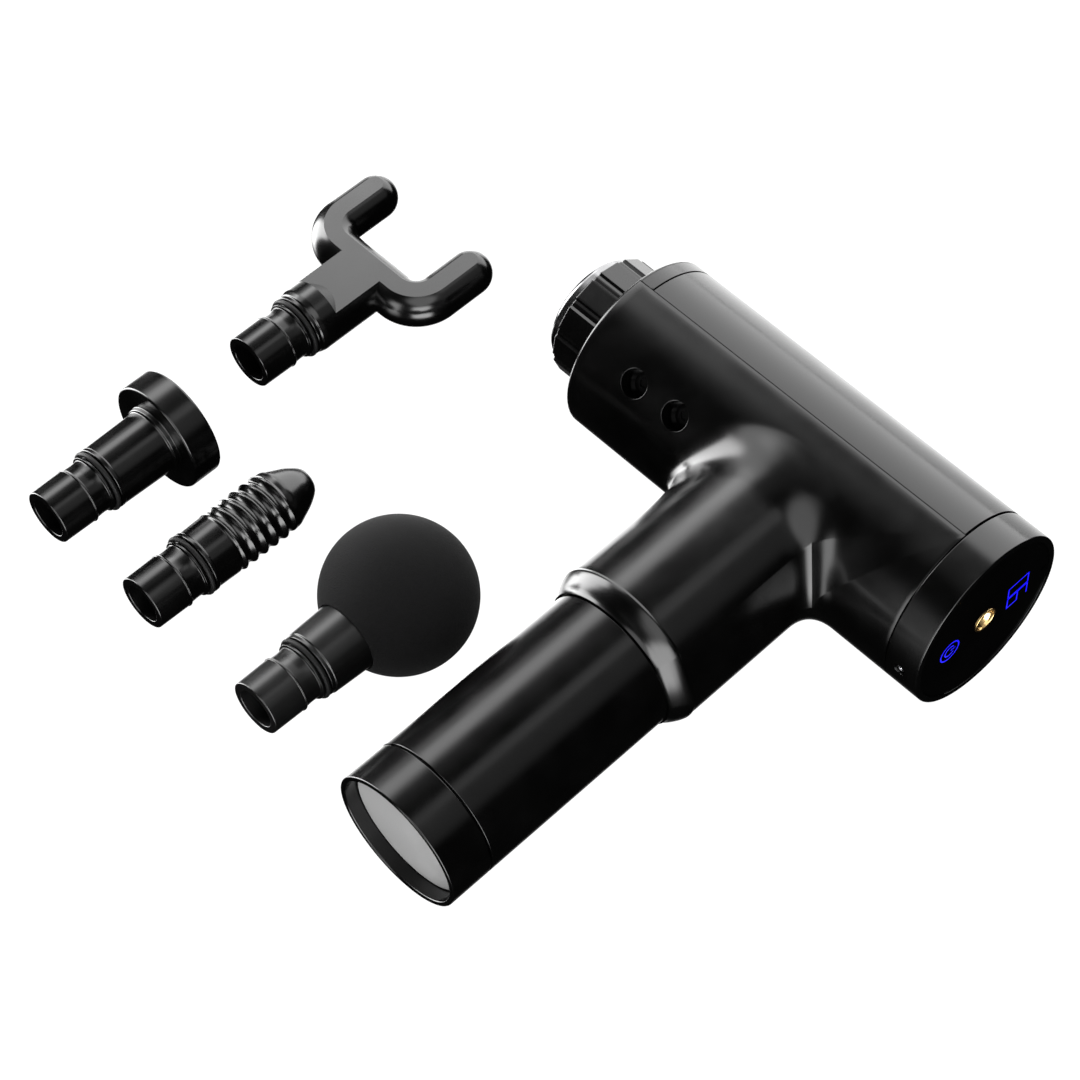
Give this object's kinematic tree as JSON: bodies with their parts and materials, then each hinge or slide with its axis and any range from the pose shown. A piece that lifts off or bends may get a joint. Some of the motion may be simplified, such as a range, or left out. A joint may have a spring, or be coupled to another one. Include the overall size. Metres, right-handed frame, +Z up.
{
  "type": "massage gun",
  "caption": "Handheld percussion massage gun with a barrel, a straight handle and a rear display, lying on its side beside its loose ball, bullet, disc and fork heads.",
  "frame": {"origin": "middle of the footprint of the gun and its laid-out heads, on the floor", "axes": "+X along the barrel towards the display, -Y along the handle towards its end, +Z up from the floor"},
  "size_m": [0.2444, 0.188, 0.056],
  "materials": {
    "housing_black": "satin black",
    "head_black": "smooth black",
    "display_gloss": "deep gloss black",
    "rubber": "matte",
    "ball_foam": "matte grained foam",
    "nose_chrome": "polished",
    "screw_steel": "bright",
    "bearing_steel": "ground",
    "cast_aluminium": "cast and milled",
    "bush_brass": "sintered",
    "jack_brass": "gold plated",
    "motor_core": "lacquered copper windings on an iron core",
    "plate_grey": "matte light grey",
    "spacer_nylon": "matte",
    "circuit_board": "solder mask",
    "chip_black": "moulded",
    "cell_wrap": "shrink wrap",
    "wire_red": "silicone"
  },
  "bodies": {
    "gun": {"main_body": "housing_black", "top_cover": "housing_black", "front_trim": "housing_black", "rear_cap": "housing_black", "nose_collar": "housing_black", "nose_seal": "rubber", "cap_screw": "screw_steel", "housing_screw_1": "screw_steel", "housing_screw_2": "screw_steel", "housing_screw_3": "screw_steel", "housing_screw_4": "screw_steel", "display_lens": "display_gloss", "display_board": "circuit_board", "segment_display": "display_gloss", "touch_electrode": "screw_steel", "charge_jack": "jack_brass", "jack_pin": "jack_brass", "drive_frame": "cast_aluminium", "guide_bush": "bush_brass", "shaft_bearing": "bearing_steel", "motor_stator": "motor_core", "frame_damper_1": "rubber", "frame_damper_2": "rubber", "frame_damper_3": "rubber", "frame_damper_4": "rubber", "control_board": "circuit_board", "motor_driver": "chip_black", "display_cable": "spacer_nylon", "battery_lead": "wire_red", "capacitor_1": "cast_aluminium", "capacitor_2": "cast_aluminium", "grip_tube": "housing_black", "end_cap": "housing_black", "base_plate": "plate_grey", "lower_cell_spacer": "spacer_nylon", "upper_cell_spacer": "spacer_nylon", "battery_board": "circuit_board", "battery_cell_1": "cell_wrap", "battery_cell_2": "cell_wrap", "battery_cell_3": "cell_wrap"},
    "crank": {"motor_can": "bearing_steel", "motor_shaft": "bearing_steel", "crank_disc": "bearing_steel", "crank_pin": "bearing_steel", "pin_bearing": "bearing_steel"},
    "plunger": {"plunger_yoke": "bearing_steel", "plunger_shaft": "bearing_steel", "plunger_sleeve": "nose_chrome", "socket_liner": "rubber"},
    "ball_head": {"ball_head": "head_black", "ball_head_ring": "rubber", "foam_ball": "ball_foam"},
    "bullet_head": {"bullet_head": "head_black", "bullet_head_ring": "rubber"},
    "disc_head": {"disc_head": "head_black", "disc_head_ring": "rubber"},
    "fork_head": {"fork_head": "head_black", "fork_head_ring": "rubber"}
  },
  "joints": [
    {"name": "crank_turn", "type": "hinge", "parent": "gun", "child": "crank", "pos_m": [0.05887, 0.05705, 0.02767], "axis": [0, -0.9993, -0.037], "range_deg": [-90, 90]},
    {"name": "plunger_stroke", "type": "slide", "parent": "gun", "child": "plunger", "axis": [-1, 0, 0], "range_m": [-0.005, 0.005]},
    {"name": "ball_head_lift", "type": "slide", "parent": "gun", "child": "ball_head", "axis": [0, 0, 1], "range_m": [0, 0.08]},
    {"name": "bullet_head_lift", "type": "slide", "parent": "gun", "child": "bullet_head", "axis": [0, 0, 1], "range_m": [0, 0.08]},
    {"name": "disc_head_lift", "type": "slide", "parent": "gun", "child": "disc_head", "axis": [0, 0, 1], "range_m": [0, 0.08]},
    {"name": "fork_head_lift", "type": "slide", "parent": "gun", "child": "fork_head", "axis": [0, 0, 1], "range_m": [0, 0.08]}
  ],
  "couplings": [
    {"joint": "plunger_stroke", "follows": "crank_turn", "m_per_rad": 0.003183}
  ]
}
